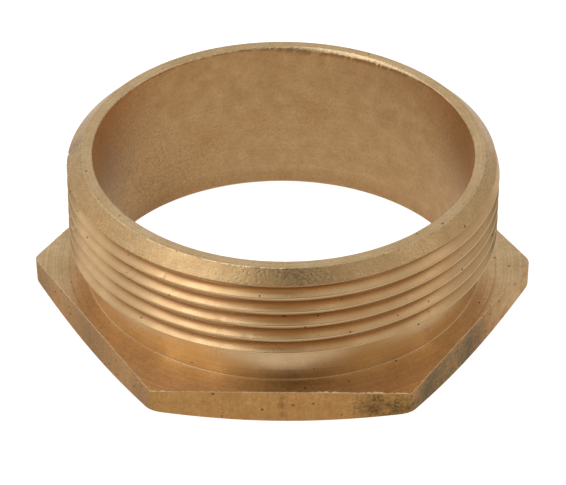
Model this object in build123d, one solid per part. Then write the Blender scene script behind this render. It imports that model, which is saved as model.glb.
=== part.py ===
"""Male threaded bush: a hexagon flange, a relieved neck and a short threaded barrel round a plain bore.

One piece turned from brass hexagon bar. Units are millimetres. The axis is +Z, the flange's underside
lies on z = 0, and two of the hexagon's corners point along +X and -X.
"""
import os
from math import cos, radians, tan

from build123d import *

# Hexagon flange
hex_across_flats = 40.6
hex_corner_radius = 0.9
flange_thickness = 3.4
underside_face_diameter = 39.9
underside_chamfer_angle = 18.0

# Threaded barrel above the flange
barrel_length = 12.55
thread_major_diameter = 40.0
thread_pitch = 1.5
thread_depth = 0.92
thread_flank_angle = 30.0
thread_crest_width = 0.1875
thread_start_angle = 134.0
lead_chamfer = 1.32

# Relieved neck between the flange and the last turn of the thread
neck_diameter = 36.9
neck_length = 3.7

# Bore, eased by a slow taper at the flange, with a broken edge at each end
bore_diameter = 35.2
bore_taper_depth = 2.2
bore_taper_angle = 8.0
bore_mouth_break = 0.3
bore_edge_break = 0.12

# How far the cutters reach past the metal, and the thread's foot into it
cutter_overrun = 2.0
ridge_sink = 0.12

# Sizes that follow from the ones above
overall_length = flange_thickness + barrel_length
thread_radius = thread_major_diameter / 2
root_radius = thread_radius - thread_depth
end_face_radius = thread_radius - lead_chamfer
neck_radius = neck_diameter / 2
bore_radius = bore_diameter / 2
hex_corner_reach = hex_across_flats / 2 / cos(radians(30))
shoulder_height = flange_thickness + neck_length


def revolved(outline):
    """A closed outline in the XZ plane, turned once round the axis."""
    return revolve(make_face(outline), Axis.Z)


def hexagon_flange():
    """Hexagon plate with rounded corners, its underside chamfered by a shallow cone as spanner hexagons are."""
    flats = RegularPolygon(hex_across_flats / 2, 6, major_radius=False)
    flats = fillet(flats.vertices(), hex_corner_radius)
    plate = extrude(flats, flange_thickness)
    reach = hex_corner_reach + cutter_overrun
    face_radius = underside_face_diameter / 2
    rise = (reach - face_radius) * tan(radians(underside_chamfer_angle))
    cone = Plane.XZ * Polyline(
        (0, 0),
        (face_radius, 0),
        (reach, rise),
        (reach, flange_thickness + cutter_overrun),
        (0, flange_thickness + cutter_overrun),
        close=True,
    )
    return plate & revolved(cone)


def barrel_core():
    """Neck, thread root and lead chamfer as one turned profile."""
    profile = Plane.XZ * Polyline(
        (0, flange_thickness),
        (neck_radius, flange_thickness),
        (neck_radius, shoulder_height),
        (root_radius, shoulder_height),
        (root_radius, overall_length - (root_radius - end_face_radius)),
        (end_face_radius, overall_length),
        (0, overall_length),
        close=True,
    )
    return revolved(profile)


def bore_cutter():
    """The bore as a solid: a slow taper at the flange, a plain wall, and a broken edge at each end."""
    taper_end = bore_radius + (bore_taper_depth - bore_mouth_break) * tan(radians(bore_taper_angle))
    profile = Plane.XZ * Polyline(
        (0, -cutter_overrun),
        (taper_end + bore_mouth_break + cutter_overrun, -cutter_overrun),
        (taper_end, bore_mouth_break),
        (bore_radius, bore_taper_depth),
        (bore_radius, overall_length - bore_edge_break),
        (bore_radius + bore_edge_break + cutter_overrun, overall_length + cutter_overrun),
        (0, overall_length + cutter_overrun),
        close=True,
    )
    return revolved(profile)


def thread_ridge():
    """The right-hand thread as one helical ridge, trimmed as the lathe trims it.

    Its section is the symmetrical thread form with a flat crest, its foot sunk a little into the root
    cylinder. The sweep starts below the shoulder and ends above the end face. What stays is the part
    between the shoulder, which cuts the last turn to a feather edge, and the cone of the lead chamfer.
    """
    slope = tan(radians(thread_flank_angle))
    crest_half = thread_crest_width / 2
    base_half = crest_half + (thread_depth + ridge_sink) * slope
    low = shoulder_height - thread_pitch
    path = Helix(thread_pitch, overall_length + thread_pitch - low, root_radius)
    section = Plane(path @ 0, x_dir=(1, 0, 0), z_dir=(0, -1, 0)) * Polyline(
        (-ridge_sink, -base_half),
        (thread_depth, -crest_half),
        (thread_depth, crest_half),
        (-ridge_sink, base_half),
        close=True,
    )
    ridge = sweep(make_face(section), path=path, is_frenet=True)
    turned_back = thread_start_angle - 360 * (overall_length - low) / thread_pitch
    ridge = Pos(0, 0, low) * Rot(0, 0, turned_back) * ridge
    inner = end_face_radius - cutter_overrun
    outer = thread_radius + cutter_overrun
    envelope = Plane.XZ * Polyline(
        (inner, shoulder_height),
        (outer, shoulder_height),
        (outer, overall_length - (outer - end_face_radius)),
        (end_face_radius, overall_length),
        (inner, overall_length),
        close=True,
    )
    return ridge & revolved(envelope)


def male_bush():
    """The whole bush: flange and barrel joined and bored through, then the thread's ridge on its root."""
    return hexagon_flange() + barrel_core() - bore_cutter() + thread_ridge()


os.makedirs("parts", exist_ok=True)
bush = male_bush()
export_step(bush, "parts/male_bush.step")
print("volume of the bush in cubic millimetres:", round(bush.volume, 1))
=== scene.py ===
# %% [markdown]
# # A brass male bush
# The object is one piece of brass, turned from hexagon bar: a thin hexagon flange, a plain neck, a short
# barrel with a right-hand thread and a smooth bore. The solid model is loaded first, as a fixed frame.
# Everything made here lies in that same frame, with +Z along the bore and the flange standing on z = 0.

# %% Load the solid model
import math

import bpy
import numpy as np
from mathutils import Matrix


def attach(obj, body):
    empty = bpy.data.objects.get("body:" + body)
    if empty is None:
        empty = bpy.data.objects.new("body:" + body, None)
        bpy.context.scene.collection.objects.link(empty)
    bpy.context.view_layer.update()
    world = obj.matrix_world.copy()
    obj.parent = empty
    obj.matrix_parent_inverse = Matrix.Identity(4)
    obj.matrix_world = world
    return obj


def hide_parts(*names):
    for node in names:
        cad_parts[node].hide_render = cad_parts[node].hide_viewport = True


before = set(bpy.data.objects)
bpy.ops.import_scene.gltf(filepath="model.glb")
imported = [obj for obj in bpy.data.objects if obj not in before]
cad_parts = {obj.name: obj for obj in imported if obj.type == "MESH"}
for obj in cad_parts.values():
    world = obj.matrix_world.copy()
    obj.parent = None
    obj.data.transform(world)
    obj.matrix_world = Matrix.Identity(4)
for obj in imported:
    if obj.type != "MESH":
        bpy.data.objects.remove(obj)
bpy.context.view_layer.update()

# %% [markdown]
# ## Columns round the axis
# A turned part could be a profile given to a Screw or Spin tool. Here the hexagon and the thread change
# the profile with the angle, so the whole skin is one grid of numbers instead: columns go round the axis
# and rows go along the profile. The columns stand closer together at the six corners of the hexagon,
# where the outline bends fastest.

# %% Angles of the columns
column_count = 576
corner_pull = 0.6


def column_angles(count, pull):
    """Even steps u round the circle, drawn towards a corner every 60 degrees: u - pull * sin(6 u) / 6."""
    even = np.arange(count) * 2 * np.pi / count
    return even - pull * np.sin(6 * even) / 6


angle = column_angles(column_count, corner_pull)
degrees = np.degrees(angle) % 360
print("columns:", column_count, "closest step in degrees:", round(math.degrees(np.diff(angle).min()), 3))

# %% [markdown]
# ## Outline of the hexagon
# The flange keeps the flats of the bar it was cut from. Its corners aren't all alike: the two in front are
# nearly sharp at the top, the right one is worn round, and all six are rounder at the foot. A polygon with
# a Bevel modifier would round them all the same, so the outline is a formula with a radius for each corner.

# %% Distance from the axis to the outline
across_flats = 40.6
corner_radius = np.array([1.7, 0.8, 0.8, 0.9, 0.4, 0.4])
low_corner_radius = np.array([1.8, 1.4, 1.4, 1.4, 1.6, 1.6])


def hexagon_reach(turn, radii):
    """Flats at half the width across flats, joined at each corner by an arc that touches both flats."""
    nearest = np.round(turn / (np.pi / 3))
    off = turn - nearest * np.pi / 3
    radius = radii[nearest.astype(int) % 6]
    flat = across_flats / 2 / np.cos(np.pi / 6 - np.abs(off))
    centre = (across_flats / 2 - radius) / math.cos(np.pi / 6)
    arc = centre * np.cos(off) + np.sqrt(np.maximum(radius**2 - (centre * np.sin(off)) ** 2, 0))
    arc_end = np.arctan2(radius * 0.5, centre + radius * math.cos(np.pi / 6))
    return np.where(np.abs(off) < arc_end, arc, flat)


outline = hexagon_reach(angle, corner_radius)
low_outline = hexagon_reach(angle, low_corner_radius)
print("outline from", round(outline.min(), 2), "to", round(outline.max(), 2), "mm from the axis")

# %% [markdown]
# ## Corners of the section
# No machined edge is perfectly sharp, and the thin bright line along an edge is what tells the eye that a
# thing is metal. A Bevel modifier gives one width to all edges. Here each corner of the section is its own
# short curve, with a guard row before and after it so that the flat faces beside it stay flat in the shading.

# %% Curve that eases a corner
curve_share = np.array([0, 0.25, 0.5, 0.75, 1])[:, None, None]
guard_reach = 2.5


def point(radius, height):
    """One row of the section: a radius and a height for each column."""
    return np.stack(np.broadcast_arrays(np.asarray(radius, float), np.asarray(height, float), angle)[:2], -1)


def eased_corner(before, corner, after, size, bend=2.0):
    """Rows round a corner, from size before it to size after it, between two guard rows.

    The curve is straight like a chamfer where bend is 1, and a round parabola where it is 2.
    """
    way_in = (before - corner) / np.linalg.norm(before - corner, axis=-1, keepdims=True)
    way_out = (after - corner) / np.linalg.norm(after - corner, axis=-1, keepdims=True)
    reach = np.broadcast_to(np.asarray(size, float), angle.shape)[:, None]
    curve = corner + reach * (way_in * (1 - curve_share) ** bend + way_out * curve_share**bend)
    guard_in = corner + guard_reach * reach * way_in
    guard_out = corner + guard_reach * reach * way_out
    return np.concatenate([guard_in[None], curve, guard_out[None]])


print("rows round a corner:", len(curve_share) + 2)

# %% [markdown]
# ## Burrs
# Where a tool leaves the metal it pushes up a thin ragged lip, the burr. It glints along the front edge of
# the flange, along the back of the bore and at a few spots of the end face. A displacement texture would
# roughen whole faces, so the burr is a height for each column instead, strong only within chosen ranges.

# %% Height of the burr at each column
chance = np.random.default_rng(11)


def ragged(ranges, tallest, rarity=2):
    """Random heights within ranges of angle, scaled by the share of each. Few are tall where rarity is high."""
    shares = [np.where((degrees > low) & (degrees < high), part, 0) for low, high, part in ranges]
    return tallest * np.max(shares, axis=0) * chance.random(column_count) ** rarity


flange_ranges = [(278, 301, 1.0), (236, 243, 0.8), (243, 278, 0.25), (0, 360, 0.12)]
bore_ranges = [(48, 90, 0.5), (90, 110, 0.9), (150, 190, 0.4), (0, 360, 0.1)]
end_ranges = [(215, 325, 1.0)]
flange_burr = ragged(flange_ranges, 0.2)
bore_burr = np.stack([ragged(bore_ranges, 0.16) for _ in range(3)])
end_burr = ragged(end_ranges, 0.16, 9)
print("tallest burr on the flange and in the bore, mm:", round(flange_burr.max(), 3), round(bore_burr.max(), 3))

# %% [markdown]
# ## Flange
# The underside is faced flat, with a slow cone that takes the points off the hexagon, as on a nut. On top,
# the facing tool stopped short of the flats and left a step as thin as paper. The neck rises from it with
# the small radius of the tool's tip. Boolean cuts would leave the step too thin to shade well, so its two
# edges are rows of the grid.

# %% Rows of the flange
flange_top = 3.4
underside_radius = 19.95
underside_slope = math.tan(math.radians(18))
mouth_radius = 18.17
facing_radius = 20.0
facing_depth = 0.015
step_run = 0.05
neck_radius = 18.45
shoulder_height = 7.1
low_ease, top_ease, foot_ease = 0.09, 0.05, 0.16

ground = point(underside_radius, 0)
low_edge = point(low_outline, (low_outline - underside_radius) * underside_slope)
top_edge = point(outline, flange_top)
step_outer = point(facing_radius + step_run, flange_top)
step_inner = point(facing_radius, flange_top - facing_depth)
foot = point(neck_radius, flange_top - facing_depth)
shoulder_foot = point(neck_radius, shoulder_height)

low_curve = eased_corner(ground, low_edge, top_edge, low_ease)
flat_share = np.array([0.15, 0.3, 0.45, 0.6, 0.75, 0.87])[:, None, None]
flat_rows = low_edge + flat_share * (top_edge - low_edge)
top_curve = eased_corner(low_edge, top_edge, step_outer, top_ease)
top_curve[2:5] += np.stack([0.3 * flange_burr, flange_burr], -1)
step_rows = np.stack([
    point(facing_radius + 0.15, flange_top),
    step_outer,
    step_inner,
    point(facing_radius - 0.1, flange_top - facing_depth),
    point(facing_radius - 0.8, flange_top - facing_depth),
])
foot_curve = eased_corner(step_inner, foot, shoulder_foot, foot_ease)
neck_rows = np.stack([point(neck_radius, 5.2), point(neck_radius, 7.0), shoulder_foot])
print("rows of the flats:", len(flat_rows), "of the flange's top:", len(step_rows))

# %% [markdown]
# ## Thread
# A thread of 1.5 mm pitch with 60 degree flanks winds up the barrel to the right. Its crests are nearly
# sharp and its roots are round, so each ridge shows as one broad band of light with a thin bright edge. The
# first groove runs out at the right, under the lead cone. A Screw modifier turns a profile into a helix, but
# can't meet the cone. Here rows follow the helix, and the nearest row moves to where it meets the cone.

# %% Thread form
end_height = 15.95
end_radius = 18.68
cone_sum = end_radius + end_height
pitch = 1.5
start_degrees = 134
crest_radius = 20.0
crest_height = end_height - pitch * start_degrees / 360
crest_half = 0.03
crest_round = 0.09
flank_end_depth = 0.77
flank_slope = math.tan(math.radians(60))


def thread_form():
    """Offset above a crest and depth below it: half the crest, a round, a flank, the root, and back."""
    tilt = np.radians([0, 20, 40, 60])
    upper = np.stack([crest_half + crest_round * np.sin(tilt), crest_round * (1 - np.cos(tilt))])
    lower = np.stack([pitch - upper[0, ::-1], upper[1, ::-1]])
    root_from = upper[0, -1] + (flank_end_depth - upper[1, -1]) / flank_slope
    root_to = lower[0, 0] - (flank_end_depth - lower[1, 0]) / flank_slope
    root_round = (root_to - root_from) / 2 / math.sin(math.radians(60))
    turn = np.radians([-60, -30, 0, 30, 60])
    root_offset = (root_from + root_to) / 2 + root_round * np.sin(turn)
    root_depth = flank_end_depth + root_round * (np.cos(turn) - 0.5)
    return np.concatenate([upper, np.stack([root_offset, root_depth]), lower], 1)


form_offset, form_depth = thread_form()
print("points of the form:", len(form_offset), "depth:", round(form_depth.max(), 3), "mm")

# %% Rows along the helix
thread_low = shoulder_height
thread_high = 15.55
groove_start = 14.8
groove_full = 14.4


def thread_radius(height, turn):
    """Radius of the thread: its form read at the height above a crest.

    The first groove is full where its middle lies below groove_full, and fades to none at groove_start.
    """
    above = height - crest_height - pitch * turn / (2 * np.pi)
    crest = pitch * np.floor(above / pitch)
    groove = crest_height + pitch * turn / (2 * np.pi) + crest + pitch / 2
    cut = np.clip((groove_start - groove) / (groove_start - groove_full), 0, 1)
    depth = np.interp(above - crest, np.append(form_offset, pitch), np.append(form_depth, 0))
    return crest_radius - cut * depth


def helical_heights():
    """Heights of rows that climb one pitch a turn, held between the shoulder and the top of the thread."""
    first = math.floor((thread_low - crest_height) / pitch) - 2
    turns = np.arange(first, 1)
    rows = crest_height + (turns[:, None] * pitch + form_offset).ravel()
    climb = pitch * angle / (2 * np.pi)
    return np.clip(rows[:, None] + climb, thread_low, thread_high)


def meet_cone(height):
    """Moves the nearer row to each place where the thread passes through the 45 degree lead cone."""
    over = thread_radius(height, angle) - (cone_sum - height)
    crosses = over[:-1] * over[1:] < 0
    share = np.where(crosses, over[:-1] / np.where(crosses, over[:-1] - over[1:], 1), 0)
    meet = height[:-1] + share * np.diff(height, axis=0)
    height[:-1] = np.where(crosses & (share < 0.5), meet, height[:-1])
    height[1:] = np.where(crosses & (share >= 0.5), meet, height[1:])
    return height


thread_height = meet_cone(helical_heights())
thread_reach = np.minimum(thread_radius(thread_height, angle), cone_sum - thread_height)
thread_rows = np.stack([thread_reach, thread_height], -1)
print("rows of the thread:", len(thread_rows))

# %% [markdown]
# ## End face and bore
# The lead cone runs up to a narrow flat end face. The bore is smooth, with its edge broken at the top and a
# slow taper at the flange, so that what is passed through doesn't catch. The edge was scraped wider at the
# back, where it catches the lamp. A Bevel modifier can't change its width along an edge, but a row can.

# %% Rows of the end face and bore
bore_radius = 17.6
taper_depth = 2.2
taper_end = 17.867
mouth_break = 0.3
end_ease, mouth_ease = 0.07, 0.06
plain_break, extra_break = 0.11, 0.23
scraped_at, scraped_fall = 71, 20
chamfer_bend = 1.15

end_edge = point(end_radius, end_height)
bore_edge = point(bore_radius, end_height)
taper_top = point(bore_radius, taper_depth)
taper_low = point(taper_end, mouth_break)

end_curve = eased_corner(point(cone_sum - thread_high, thread_high), end_edge, bore_edge, end_ease)
end_curve[2:5] += np.stack([0.7 * end_burr, 0.5 * end_burr], -1)
edge_break = plain_break + extra_break * np.clip(1.6 - np.abs(degrees - scraped_at) / scraped_fall, 0, 1)
bore_curve = eased_corner(end_edge, bore_edge, taper_top, edge_break, chamfer_bend)
bore_curve[2:5] += np.stack([-0.3 * bore_burr, 0.4 * bore_burr], -1)
bore_rows = np.concatenate([
    point(bore_radius, 11.0)[None],
    point(bore_radius, 6.5)[None],
    point(bore_radius, taper_depth + 0.15)[None],
    taper_top[None],
    point(bore_radius + 0.021, taper_depth - 0.15)[None],
    eased_corner(taper_top, taper_low, point(mouth_radius, 0), mouth_ease),
])
print("rows of the end face and bore:", len(end_curve) + len(bore_curve) + len(bore_rows))

# %% [markdown]
# ## Order of the rows and their finishes
# Each tool leaves its own finish: the lathe's facing, turning, threading, chamfering and boring, and the
# drawing die that made the bar's flats. Edges are rubbed bright. They could be separate objects, but one
# skin with a finish for each strip has no seams. A row's finish belongs to the strip that ends at it.

# %% Rows in the order of the profile
zones = [
    ("faced brass", np.stack([point(mouth_radius, 0), ground])),
    ("faced brass", low_curve[:4]),
    ("drawn brass", np.concatenate([low_curve[4:], flat_rows, top_curve[:2]])),
    ("worn brass", top_curve[2:6]),
    ("faced brass", np.concatenate([top_curve[6:], step_rows, foot_curve[:3]])),
    ("turned brass", np.concatenate([foot_curve[3:], neck_rows])),
    ("threaded brass", thread_rows),
    ("chamfered brass", end_curve[:2]),
    ("worn brass", end_curve[2:5]),
    ("faced brass", np.concatenate([end_curve[5:], bore_curve[:2]])),
    ("worn brass", bore_curve[2:6]),
    ("bored brass", np.concatenate([bore_curve[6:], bore_rows])),
]
finishes = [
    "turned brass", "faced brass", "threaded brass", "chamfered brass",
    "bored brass", "drawn brass", "worn brass",
]
thread_zone = [name for name, _ in zones].index("threaded brass")

section = np.concatenate([rows for _, rows in zones])
row_finish = np.concatenate([np.full(len(rows), finishes.index(name)) for name, rows in zones])
helix_start = sum(len(rows) for _, rows in zones[:thread_zone])
places = np.stack([section[..., 0] * np.cos(angle), section[..., 0] * np.sin(angle), section[..., 1]], -1)
print("rows:", len(section), "finishes:", len(finishes))

# %% [markdown]
# ## Knocks and nicks
# A loose part is knocked in the box. Its right corner has a small dent, the end face has a scratch, and the
# crests of the thread carry small nicks. A sculpting brush does this by hand. Here every mark is a centre,
# a reach and a push, and moves the points near it, so it stays a true dent in the mesh.

# %% Dents
marks = [
    ((22.9, -0.9, 3.4), 0.6, (-0.06, 0.0, -0.09)),
    ((17.9, -5.95, 15.95), 0.45, (0.0, 0.0, -0.07)),
]
nick_count = 26
nick_turn = chance.uniform(0, 2 * np.pi, nick_count)
nick_height = crest_height + pitch * (nick_turn / (2 * np.pi) - chance.integers(1, 6, nick_count))
nick_depth = chance.uniform(0.03, 0.09, nick_count)
for turn, height, depth in zip(nick_turn, nick_height, nick_depth):
    outward = np.array([math.cos(turn), math.sin(turn), 0])
    marks.append((crest_radius * outward + (0, 0, height), 0.22 + 2 * depth, -depth * outward))


def dent(shape, centre, reach, push):
    """Points within reach of the centre move by push * (1 - d^2 / reach^2)^2, where d is their distance."""
    near = np.maximum(1 - ((shape - centre) ** 2).sum(-1, keepdims=True) / reach**2, 0)
    return shape + near**2 * np.asarray(push)


for centre, reach, push in marks:
    places = dent(places, np.asarray(centre), reach, push)
print("dents:", len(marks))

# %% [markdown]
# ## Skin of the bush
# The rows lie in the order of the profile and the last joins the first, which makes a closed ring. At the
# end of a turn, a row of the thread meets the row that lies one pitch higher at the start. Rows that are
# held at the shoulder or at the cone lie on top of each other. A Merge by Distance would close them too, but
# here equal points are merged by number, so that every edge has exactly two faces.

# %% Faces of the ring
on_cone_within = 0.002


def ring_faces(row_count, helix_start, helix_count, shift):
    """Two triangles for each cell. Past the last column, a helical row goes on as the row shift higher."""
    rows = np.arange(row_count)
    helical = (rows >= helix_start) & (rows < helix_start + helix_count)
    after = np.where(helical, np.minimum(rows + shift, helix_start + helix_count - 1), rows)
    index = np.arange(row_count * column_count).reshape(row_count, column_count)
    right = np.concatenate([index[:, 1:], index[after, :1]], 1)
    above, above_right = np.roll(index, -1, 0), np.roll(right, -1, 0)
    return np.stack([np.stack([index, right, above_right], -1), np.stack([index, above_right, above], -1)], 2)


def on_cone(triangles):
    """True where all corners of a triangle lie on the lead cone, where radius and height have one sum."""
    total = (section[..., 0] + section[..., 1]).ravel()[triangles]
    return (np.abs(total - cone_sum) < on_cone_within).all(-1)


faces = ring_faces(len(section), helix_start, len(thread_rows), len(form_offset)).reshape(-1, 3)
face_finish = np.repeat(np.roll(row_finish, -1), 2 * column_count)
face_finish = np.where(on_cone(faces), finishes.index("chamfered brass"), face_finish)
print("triangles before merging:", len(faces))

# %% Merge equal points
points = places.reshape(-1, 3)
_, kept, merged = np.unique(np.round(points, 5), axis=0, return_index=True, return_inverse=True)
faces = merged.ravel()[faces]
whole = (faces[:, 0] != faces[:, 1]) & (faces[:, 1] != faces[:, 2]) & (faces[:, 2] != faces[:, 0])
faces, face_finish = faces[whole], face_finish[whole]
vertices = points[kept] / 1000

edges = np.sort(faces[:, [0, 1, 1, 2, 2, 0]].reshape(-1, 2), 1)
uses = np.unique(edges, axis=0, return_counts=True)[1]
print("triangles:", len(faces), "edges without exactly two faces:", int((uses != 2).sum()))

# %% [markdown]
# ## Into the scene
# The numbers become a mesh in one step, which is far quicker than adding points one by one. It is shaded
# smooth except where two faces meet at a clear angle, and takes the place of the solid model's bush.

# %% Put it into the scene
sharp_from = math.radians(32)
mesh = bpy.data.meshes.new("brass_bush")
mesh.from_pydata(vertices, [], faces)
mesh.polygons.foreach_set("material_index", face_finish.astype(np.int32))
mesh.shade_smooth()
mesh.set_sharp_from_angle(angle=sharp_from)
bush = bpy.data.objects.new("brass_bush", mesh)
bpy.context.scene.collection.objects.link(bush)
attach(bush, "root")
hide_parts("male_bush")
print("points:", len(mesh.vertices))

# %% [markdown]
# ## Nodes for brass
# Brass is a copper and zinc alloy whose bare metal is pale gold. A fine film of tarnish makes it tan. Nodes
# could be wired by hand in the editor. The helpers below turn sRGB hex colours to the linear numbers that
# shaders use, and add a node with its settings and links in one line.

# %% Colour and node helpers
def linear(hex_colour):
    """A colour written as sRGB hex, as the linear numbers that shaders use."""
    channels = np.array([int(hex_colour[k:k + 2], 16) for k in (1, 3, 5)]) / 255
    curved = ((channels + 0.055) / 1.055) ** 2.4
    return tuple(np.where(channels <= 0.04045, channels / 12.92, curved)) + (1.0,)


def add(tree, kind, settings=(), **links):
    """Adds a node, sets its properties and sockets, and links outputs of other nodes into its sockets.

    A link is named for its socket, or i and a number where several sockets share a name.
    """
    node = tree.nodes.new(kind)
    for name, value in dict(settings).items():
        if isinstance(name, int) or name in node.inputs:
            node.inputs[name].default_value = value
        else:
            setattr(node, name, value)
    for name, output in links.items():
        key = int(name[1:]) if name[0] == "i" and name[1:].isdigit() else name.replace("_", " ")
        tree.links.new(output, node.inputs[key])
    return node


print("bare brass as linear numbers:", np.round(linear("#FADCAE"), 3).tolist())

# %% [markdown]
# ## Tool lines
# The lathe leaves fine grooves round the axis, and the drawing die leaves them along the bar. They are a
# noise that changes quickly across the grooves and hardly at all along them. A wave texture would be too
# even. The real grooves are near 0.1 mm apart, too fine for the picture, so they are drawn two to four
# times as coarse.

# %% Height of the tool lines
bar_stretch = (1, 1, 0.09)
fall_of_height = -1.3
wander_size = 6.0
wander_reach = 0.35


def tool_lines(tree, millimetres, radius, height, spacing, along_bar):
    """Noise on a single number: r - 1.3 z with a slow wander for the lathe, or flattened places for the die."""
    if along_bar:
        stretch = {"operation": "MULTIPLY", 1: bar_stretch}
        drawn = add(tree, "ShaderNodeVectorMath", stretch, i0=millimetres).outputs[0]
        streaks = {"Scale": 1 / spacing, "Detail": 3.0}
        return add(tree, "ShaderNodeTexNoise", streaks, Vector=drawn).outputs[0]
    slow = {"Scale": 1 / wander_size, "Detail": 1.0}
    wander = add(tree, "ShaderNodeTexNoise", slow, Vector=millimetres).outputs[0]
    lean = {"operation": "MULTIPLY_ADD", 1: fall_of_height}
    fall = add(tree, "ShaderNodeMath", lean, i0=height, i2=radius).outputs[0]
    sway = {"operation": "MULTIPLY_ADD", 1: wander_reach}
    across = add(tree, "ShaderNodeMath", sway, i0=wander, i2=fall).outputs[0]
    rings = {"noise_dimensions": "1D", "Scale": 1 / spacing, "Detail": 2.0, "Roughness": 0.6}
    return add(tree, "ShaderNodeTexNoise", rings, W=across).outputs[0]


# %% [markdown]
# ## Pinholes, stains and painted shade
# Leaded brass has tiny pores, a twentieth of a millimetre wide, that hold dirt and show as dark specks. They
# are drawn two to three times as wide, or the picture would miss them. Handling and cutting oil leave larger
# brown or grey stains. The same soft patches also lay painted shade where the metal lies in shade: at the foot
# of the neck and on the walls and mouth of the bore. Pores are the cores of the cells of a Voronoi pattern, and
# a patch is a soft ball of colour round a chosen place, broken up by noise. Painting them on a texture would
# need an image.

# %% Masks for pores, stains and painted shade
def pores(tree, millimetres, cell, pore, share):
    """One inside a pore and none outside: a share of the cells have a pore at their core."""
    cells = add(tree, "ShaderNodeTexVoronoi", {"Scale": 1 / cell}, Vector=millimetres)
    edge = {"From Min": 0.3 * pore / cell, "From Max": pore / cell, "To Min": 1.0, "To Max": 0.0}
    core = add(tree, "ShaderNodeMapRange", edge, Value=cells.outputs["Distance"]).outputs[0]
    lot = add(tree, "ShaderNodeSeparateColor", (), Color=cells.outputs["Color"]).outputs[0]
    chosen = add(tree, "ShaderNodeMath", {"operation": "LESS_THAN", 1: share}, i0=lot).outputs[0]
    return add(tree, "ShaderNodeMath", {"operation": "MULTIPLY"}, i0=core, i1=chosen).outputs[0]


def stain_and_shade_patch(tree, millimetres, patchy, centre, reach, strength):
    """Strength near the centre, falling to none about one reach away, with the noise patchy eating into it."""
    from_centre = {"operation": "DISTANCE", 1: centre}
    away = add(tree, "ShaderNodeVectorMath", from_centre, i0=millimetres).outputs["Value"]
    bite = {"operation": "MULTIPLY_ADD", 1: 3 * reach}
    eaten = add(tree, "ShaderNodeMath", bite, i0=patchy, i2=away).outputs[0]
    fall = {"From Min": 1.5 * reach, "From Max": 2.3 * reach, "To Min": strength, "To Max": 0.0}
    return add(tree, "ShaderNodeMapRange", fall, Value=eaten).outputs[0]


# %% [markdown]
# ## Brass, with the finish each tool leaves
# One function makes them all, because they are one metal: a film of tarnish between two colours, tool
# lines, a fine grit and pores. A lamp's reflection is drawn out across the grooves, which is what the
# anisotropic setting gives, with its direction taken round the axis. Modelled grooves would do the same, at
# the cost of millions of faces.

# %% Brass
grain_size = 0.25
# The dark brown of the painted shade that deepens with the radius, in hollows
painted_shade_colour = linear("#9A5208")
pore_colour = linear("#5E4426")


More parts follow.
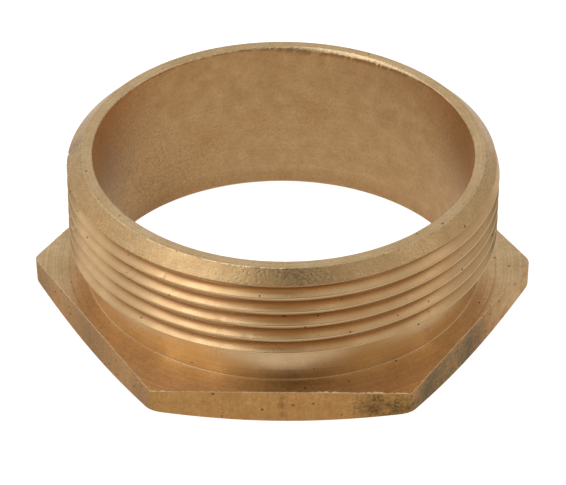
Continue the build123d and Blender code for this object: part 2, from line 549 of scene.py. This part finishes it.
def brass(
    name, pale, tan, rough, anisotropy, lines, grit,
    stains_and_painted_shade=(), along_bar=False, painted_shade_by_radius=None, pits=(0.8, 0.06, 0.3), blotches=(3.5, 0.5),
):
    """Brass between the colours pale and tan. Lengths are in millimetres.

    Lines: spacing, depth and contrast of the tool lines. Grit: depth of the grain. Patches, some of stain and
    some
    of painted shade: centre, reach, strength and colour of each. Painted shade by radius: the radius at which
    it is full, at which it ends, and its strength.
    Pits: size of a pore's cell, size of the pore and share of cells that have one. Blotches: size of the
    tarnish's patches and how far the grain breaks them up.
    """
    material = bpy.data.materials.new(name)
    material.use_nodes = True
    tree = material.node_tree
    shader = tree.nodes["Principled BSDF"]
    shader.inputs["Metallic"].default_value = 1.0
    shader.inputs["Anisotropic"].default_value = anisotropy
    shader.inputs["Anisotropic Rotation"].default_value = 0.0 if along_bar else 0.25
    place = add(tree, "ShaderNodeTexCoord").outputs["Object"]
    round_axis = add(tree, "ShaderNodeVectorMath", {"operation": "CROSS_PRODUCT", 0: (0, 0, 1)}, i1=place)
    tree.links.new(round_axis.outputs[0], shader.inputs["Tangent"])
    to_millimetres = {"operation": "SCALE", "Scale": 1000.0}
    millimetres = add(tree, "ShaderNodeVectorMath", to_millimetres, i0=place).outputs[0]
    flatten = {"operation": "MULTIPLY", 1: (1, 1, 0)}
    level = add(tree, "ShaderNodeVectorMath", flatten, i0=millimetres).outputs[0]
    radius = add(tree, "ShaderNodeVectorMath", {"operation": "LENGTH"}, i0=level).outputs["Value"]
    height = add(tree, "ShaderNodeSeparateXYZ", (), i0=millimetres).outputs["Z"]

    # Film of tarnish between the two colours
    patches = {"Scale": 1 / blotches[0], "Detail": 6.0, "Roughness": 0.65}
    blotch = add(tree, "ShaderNodeTexNoise", patches, Vector=millimetres).outputs[0]
    specks = {"Scale": 1 / grain_size, "Detail": 3.0, "Roughness": 0.7}
    grain = add(tree, "ShaderNodeTexNoise", specks, Vector=millimetres).outputs[0]
    mingle = {"operation": "MULTIPLY_ADD", 1: blotches[1]}
    both = add(tree, "ShaderNodeMath", mingle, i0=grain, i2=blotch).outputs[0]
    spread = {"From Min": 0.3 + 0.5 * blotches[1], "From Max": 0.7 + 0.5 * blotches[1]}
    film = add(tree, "ShaderNodeMapRange", spread, Value=both).outputs[0]
    over = {"data_type": "RGBA"}
    colour = add(tree, "ShaderNodeMix", over | {6: linear(pale), 7: linear(tan)}, i0=film).outputs[2]

    # Tool lines, painted shade by radius, patches of stain and of painted shade, grain and pores, each laid
    # over the last
    grooves = tool_lines(tree, millimetres, radius, height, lines[0], along_bar)
    multiply = over | {"blend_type": "MULTIPLY", 0: 1.0}
    contrast = {"From Min": 0.25, "From Max": 0.75, "To Min": 1 - lines[2], "To Max": 1 + 0.5 * lines[2]}
    shade = add(tree, "ShaderNodeMapRange", contrast, Value=grooves).outputs[0]
    colour = add(tree, "ShaderNodeMix", multiply, i6=colour, i7=shade).outputs[2]
    # Darker brown by radius: painted shade in the roots of the thread and in the taper of the bore's mouth
    if painted_shade_by_radius:
        shade_span = {"From Min": painted_shade_by_radius[0], "From Max": painted_shade_by_radius[1], "To Min": painted_shade_by_radius[2], "To Max": 0.0}
        depth = add(tree, "ShaderNodeMapRange", shade_span, Value=radius).outputs[0]
        colour = add(tree, "ShaderNodeMix", over | {7: painted_shade_colour}, i0=depth, i6=colour).outputs[2]
    evened = {"operation": "DIVIDE", 1: 1 + blotches[1]}
    patchy = add(tree, "ShaderNodeMath", evened, i0=both).outputs[0]
    # Patches: stains, and on some finishes painted shade where the metal lies in shade
    for centre, reach, strength, tint in stains_and_painted_shade:
        mask = stain_and_shade_patch(tree, millimetres, patchy, centre, reach, strength)
        colour = add(tree, "ShaderNodeMix", over | {7: linear(tint)}, i0=mask, i6=colour).outputs[2]
    bite = min(grit, 0.025)
    sand = {"From Min": 0.35, "From Max": 0.65, "To Min": 1 - 8 * bite, "To Max": 1 + 6 * bite}
    shade = add(tree, "ShaderNodeMapRange", sand, Value=grain).outputs[0]
    colour = add(tree, "ShaderNodeMix", multiply, i6=colour, i7=shade).outputs[2]
    holes = pores(tree, millimetres, *pits)
    colour = add(tree, "ShaderNodeMix", over | {7: pore_colour}, i0=holes, i6=colour).outputs[2]
    tree.links.new(colour, shader.inputs["Base Color"])

    # Tarnish is duller than bare metal, and the grooves and the grain are felt by the light
    dull = {"To Min": rough - 0.05, "To Max": rough + 0.08}
    tree.links.new(add(tree, "ShaderNodeMapRange", dull, Value=film).outputs[0], shader.inputs["Roughness"])
    ridges = add(tree, "ShaderNodeBump", {"Distance": lines[1] / 1000}, Height=grooves).outputs[0]
    sandy = add(tree, "ShaderNodeBump", {"Distance": grit / 1000}, Height=grain, Normal=ridges).outputs[0]
    tree.links.new(sandy, shader.inputs["Normal"])
    return material


# %% [markdown]
# ## The finishes
# Each finish is the same brass with its own colours, dullness, lines and dirt. One material for the whole
# bush would look cast, because what shows that a thing was machined is that its faces differ.

# %% The finishes
metal = {
    # The neck: smooth turning with long soft reflections of the flange and the lamps
    "turned brass": brass(
        "turned brass", "#EFCDA0", "#E7C18F", 0.27, 0.5, (0.3, 0.006, 0.08), 0.003,
        pits=(0.9, 0.1, 0.35), blotches=(3.5, 0.1),
    ),
    # The flange's top, the end face and the underside: arcs of the facing tool spread the light a little
    "faced brass": brass(
        "faced brass", "#FFDCA9", "#EAC48F", 0.37, 0.55, (0.25, 0.011, 0.13), 0.02,
        pits=(1.0, 0.14, 0.5),
        stains_and_painted_shade=[
            # Painted shade: a brown patch on the flange at the front of the neck's foot, where the corner lies
            # in shade
            ((2.0, -19.0, 3.4), 3.5, 0.35, "#8A6A44"),
            ((17.9, -5.95, 15.95), 0.5, 0.7, "#6E4E2A"),
        ],
    ),
    # The thread: clean bright flanks, with painted shade, a dark brown, laid into the roots
    "threaded brass": brass(
        "threaded brass", "#F2CA96", "#E8BE88", 0.28, 0.4, (0.4, 0.001, 0.03), 0.001,
        # The darkening by radius is painted shade in the roots of the thread
        painted_shade_by_radius=(19.2, 19.7, 0.4), pits=(1.0, 0.13, 0.45), blotches=(3.5, 0.0),
    ),
    # The lead cone: cut dry, so it is grainy and sparkles
    "chamfered brass": brass(
        "chamfered brass", "#F0CA94", "#E0B680", 0.28, 0.3, (0.25, 0.004, 0.08), 0.034,
        blotches=(2.0, 0.5),
        stains_and_painted_shade=[
            ((0.6, -19.0, 15.4), 2.0, 0.12, "#8E7C60"),
            ((-16.2, -10.2, 15.3), 2.6, 0.35, "#DCA468"),
            ((-19.3, 1.5, 14.9), 2.0, 0.5, "#7A6242"),
        ],
    ),
    # The bore: dull and blotchy, with a brown streak across it, and painted shade darkening its sides and its
    # mouth
    "bored brass": brass(
        "bored brass", "#E3BB86", "#D6AC77", 0.36, 0.3, (0.35, 0.003, 0.04), 0.022,
        # The darkening by radius here is painted shade in the taper of the mouth
        blotches=(1.5, 0.9), painted_shade_by_radius=(17.72, 17.6, 0.16),
        stains_and_painted_shade=[
            ((-7.5, 15.9, 6.4), 3.0, 0.28, "#BC804E"),
            ((-2.5, 17.4, 7.4), 3.0, 0.22, "#BC804E"),
            ((2.8, 17.4, 8.8), 2.6, 0.32, "#BC804E"),
            # The next three patches are painted shade on the bore's left and right walls and at its lower left
            # mouth
            ((-16.6, 5.8, 9.0), 10.0, 0.6, "#94704A"),
            ((-12.6, 12.3, 0.8), 9.0, 0.5, "#A0743E"),
            ((16.6, 5.8, 12.0), 7.0, 0.45, "#94704A"),
        ],
    ),
    # The flats: never machined, so they keep the bar's dark skin, its streaks and the stains of handling
    "drawn brass": brass(
        "drawn brass", "#DEAC6C", "#CC985C", 0.42, 0.2, (0.3, 0.006, 0.09), 0.024,
        along_bar=True, pits=(0.9, 0.17, 0.45), blotches=(1.2, 0.8),
        stains_and_painted_shade=[
            ((21.6, -3.2, 1.6), 6.5, 0.8, "#F2D09C"),
            ((13.3, -17.5, 1.6), 5.4, 0.85, "#62562F"),
            ((15.0, -14.8, 1.6), 5.4, 0.6, "#7A683C"),
            ((17.4, -10.5, 1.6), 5.0, 0.8, "#665A3A"),
            ((8.4, -20.3, 1.7), 2.8, 0.75, "#5E4A2A"),
            ((10.8, -20.3, 1.7), 3.0, 0.65, "#6E5A34"),
            ((0.2, -20.3, 2.8), 0.6, 0.5, "#7A5830"),
            ((0.1, -20.3, 1.9), 0.7, 0.6, "#7A5830"),
            ((0.2, -20.3, 0.9), 0.6, 0.5, "#7A5830"),
            ((-17.5, -10.2, 1.6), 8.0, 0.6, "#94744C"),
            ((-22.6, -1.6, 1.6), 3.6, 0.55, "#94744C"),
            ((-12.7, -18.6, 1.6), 3.6, 0.55, "#8E7048"),
        ],
    ),
    # The edges: rubbed bright by handling, so they carry the thin glints
    "worn brass": brass("worn brass", "#FADCAE", "#F0CC98", 0.27, 0.0, (0.3, 0.003, 0.05), 0.03),
}
for name in finishes:
    mesh.materials.append(metal[name])
print("finishes:", ", ".join(finishes))

# %% [markdown]
# ## Floor
# The bush stands on a sheet of white paper that glows for the lens until it is pure white, as small parts
# are photographed for a catalogue. In the metal the same sheet mirrors as plain matt paper, which is darker.
# A Light Path node tells the two apart, so that the glow doesn't wash out the neck and the bore. A brighter
# lamp on the floor would whiten it too, but would light the metal from below as well.

# %% Floor
floor_half = 2.0
floor_height = -0.00002
mirrored_glow, seen_glow = 0.4, 0.95
floor_mesh = bpy.data.meshes.new("paper_sheet")
corners = [(-1, -1), (1, -1), (1, 1), (-1, 1)]
floor_mesh.from_pydata([(x * floor_half, y * floor_half, floor_height) for x, y in corners], [], [(0, 1, 2, 3)])
floor = bpy.data.objects.new("paper_sheet", floor_mesh)
bpy.context.scene.collection.objects.link(floor)

# Paper: matt, with hardly any gloss, so that only its brightness is seen
sheet = bpy.data.materials.new("matt white paper")
sheet.use_nodes = True
paper = sheet.node_tree
paper_shader = paper.nodes["Principled BSDF"]
paper_shader.inputs["Base Color"].default_value = linear("#B4B2AE")
paper_shader.inputs["Roughness"].default_value = 0.9
paper_shader.inputs["Specular IOR Level"].default_value = 0.1
paper_shader.inputs["Emission Color"].default_value = (1.0, 1.0, 1.0, 1.0)
seen = add(paper, "ShaderNodeLightPath").outputs["Is Camera Ray"]
glow = add(paper, "ShaderNodeMapRange", {"To Min": mirrored_glow, "To Max": seen_glow}, Value=seen).outputs[0]
paper.links.new(glow, paper_shader.inputs["Emission Strength"])
floor_mesh.materials.append(sheet)
print("sheet of", 2 * floor_half, "by", 2 * floor_half, "m")

# %% [markdown]
# ## Lamps
# Polished metal shows its surroundings, so the lamps are placed by what each face mirrors: the key is what
# the front of the lead cone sees, the back lamp what the end face sees, and the side lamps what the neck
# and the sides of the thread see. A studio picture from a file would do too, but can't be adjusted face by
# face.

# %% Lamps
daylight = (1.0, 1.03, 1.08)
north_light = (1.0, 1.04, 1.08)


def soft_box(name, azimuth, elevation, distance, size, radiance, tint=(1.0, 1.0, 1.0)):
    """A square area light that faces the bush. Azimuth is counted from the front to the left, in degrees."""
    light = bpy.data.lights.new(name, "AREA")
    light.size = size
    light.energy = radiance * math.pi * size**2
    light.color = tint
    box = bpy.data.objects.new(name, light)
    bpy.context.scene.collection.objects.link(box)
    box.matrix_world = (
        Matrix.Rotation(math.radians(-azimuth), 4, "Z")
        @ Matrix.Rotation(math.radians(90 - elevation), 4, "X")
        @ Matrix.Translation((0, 0, distance))
    )
    return box


lamps = [
    soft_box("key", 54, 45, 0.6, 0.46, 0.86, daylight),
    soft_box("key_high", 80, 73, 0.6, 0.32, 0.85, daylight),
    soft_box("left_side", 107, 42, 0.6, 0.5, 0.5, daylight),
    soft_box("left_low", 120, 16, 0.6, 0.4, 0.18),
    soft_box("right_fill", -67, 54, 0.6, 0.53, 0.4),
    soft_box("right_side", -109, 30, 0.6, 0.47, 0.31),
    soft_box("back", 180, 38, 0.7, 0.8, 0.4, north_light),
    soft_box("top", 90, 86, 0.7, 0.3, 0.55),
]
print("lamps:", len(lamps))

# %% [markdown]
# ## Room
# Between the lamps the metal mirrors the room: pale near the horizon, where the paper's far end would be,
# and dim above. One flat grey would leave the crests of the thread without a gradient.

# %% Room
horizon = (0.42, 0.4, 0.375, 1.0)
ceiling = (0.13, 0.121, 0.11, 1.0)
dim_from = 0.35
world = bpy.data.worlds.new("grey room")
bpy.context.scene.world = world
world.use_nodes = True
room = world.node_tree
direction = add(room, "ShaderNodeTexCoord").outputs["Generated"]
upward = add(room, "ShaderNodeSeparateXYZ", (), i0=direction).outputs["Z"]
climb = add(room, "ShaderNodeMapRange", {"From Max": dim_from}, Value=upward).outputs[0]
wall_colour = add(room, "ShaderNodeMix", {"data_type": "RGBA", 6: horizon, 7: ceiling}, i0=climb).outputs[2]
room.links.new(wall_colour, room.nodes["Background"].inputs["Color"])
print("room: full dimness from", round(math.degrees(math.asin(dim_from)), 1), "degrees up")

# %% [markdown]
# ## Camera
# A long lens from a third of a metre away looks down at about 35 degrees, a little turned and rolled. A
# short lens nearer by would show more of the bore and swell the flange's front.

# %% Camera
camera_data = bpy.data.cameras.new("camera")
camera_data.lens = 222.45
camera_data.sensor_width = 36.0
camera_data.clip_start = 0.01
camera = bpy.data.objects.new("camera", camera_data)
bpy.context.scene.collection.objects.link(camera)
camera.matrix_world = (
    Matrix.Translation((0.0018434, -0.2677721, 0.1957354))
    @ Matrix.Rotation(math.radians(0.3938), 4, "Z")
    @ Matrix.Rotation(math.radians(54.5994), 4, "X")
    @ Matrix.Rotation(math.radians(0.2575), 4, "Z")
)
bpy.context.scene.camera = camera
bpy.context.scene.view_settings.view_transform = "Standard"
print("camera is", round(camera.matrix_world.translation.length, 3), "m from the bush's foot")
